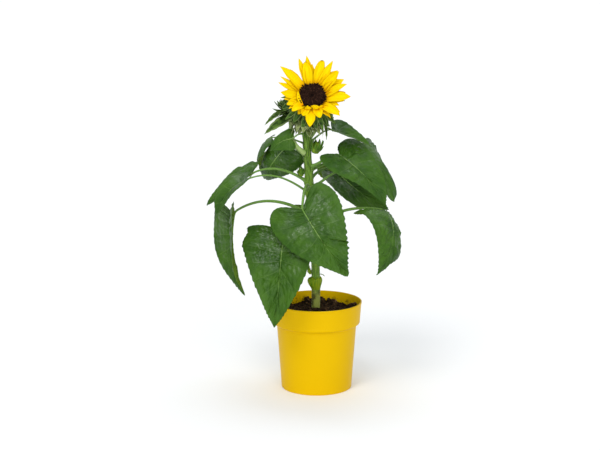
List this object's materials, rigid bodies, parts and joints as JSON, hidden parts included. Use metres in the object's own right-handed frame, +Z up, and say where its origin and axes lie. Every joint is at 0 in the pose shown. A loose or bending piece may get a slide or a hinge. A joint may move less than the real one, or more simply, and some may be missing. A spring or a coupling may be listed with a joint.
{
  "type": "potted sunflower plant",
  "caption": "Young potted sunflower: a slim leaning stem with an open yellow bloom, side buds and broad heart-shaped leaves on long stalks, in a yellow plastic nursery pot of dark soil.",
  "frame": {"origin": "middle of the pot's flat underside, on the surface that the pot stands on", "axes": "+Z up along the plant, -Y the way the bloom looks, +X to the right as the bloom is looked at"},
  "size_m": [0.2781, 0.2581, 0.4789],
  "materials": {
    "pot_plastic": "injection-moulded yellow plastic with a soft sheen and light scuffs",
    "potting_soil": "dark crumbly peat-based potting soil, dry on top",
    "green_stem": "juicy green stem with fine ribs and short bristly hairs",
    "pale_stalk": "pale green hairy leaf stalk, channelled on top",
    "leaf_green": "rough, slightly glossy green leaf with pale sunken veins and a duller underside",
    "petal_yellow": "soft yellow petals with fine lengthwise ribs, orange at the root",
    "disc_brown": "dark brown florets packed in spirals",
    "bract_green": "pointed green bracts with pale hairy edges"
  },
  "bodies": {
    "root": {"pot": "pot_plastic", "soil": "potting_soil", "stem": "green_stem", "seed_leaf_collar": "pale_stalk", "seed_leaf_left": "bract_green", "seed_leaf_right": "bract_green", "petiole_front": "pale_stalk", "leaf_front": "leaf_green", "petiole_front_low": "pale_stalk", "leaf_front_low": "leaf_green", "petiole_left_low": "pale_stalk", "leaf_left_low": "leaf_green", "petiole_right_low": "pale_stalk", "leaf_right_low": "leaf_green", "petiole_left_back": "pale_stalk", "leaf_left_back": "leaf_green", "petiole_left_front": "pale_stalk", "leaf_left_front": "leaf_green", "petiole_left_upper": "pale_stalk", "leaf_left_upper": "leaf_green", "petiole_left_curled": "pale_stalk", "leaf_left_curled": "leaf_green", "petiole_left_small": "pale_stalk", "leaf_left_small": "leaf_green", "petiole_right_upper": "pale_stalk", "leaf_right_upper": "leaf_green", "petiole_right_middle": "pale_stalk", "leaf_right_middle": "leaf_green", "petiole_right_front": "pale_stalk", "leaf_right_front": "leaf_green", "petiole_right_far": "pale_stalk", "leaf_right_far": "leaf_green", "petiole_back_low": "pale_stalk", "leaf_back_low": "leaf_green", "petiole_back_left": "pale_stalk", "leaf_back_left": "leaf_green", "petiole_back_right": "pale_stalk", "leaf_back_right": "leaf_green", "petiole_back_upper": "pale_stalk", "leaf_back_upper": "leaf_green", "bloom_cup": "bract_green", "ray_petals": "petal_yellow", "disc": "disc_brown", "side_bud_left": "bract_green", "bud_stalk_left": "pale_stalk", "side_bud_right": "bract_green", "bud_stalk_right": "pale_stalk", "axil_bud_right": "bract_green", "axil_bud_left": "bract_green"}
  },
  "joints": []
}
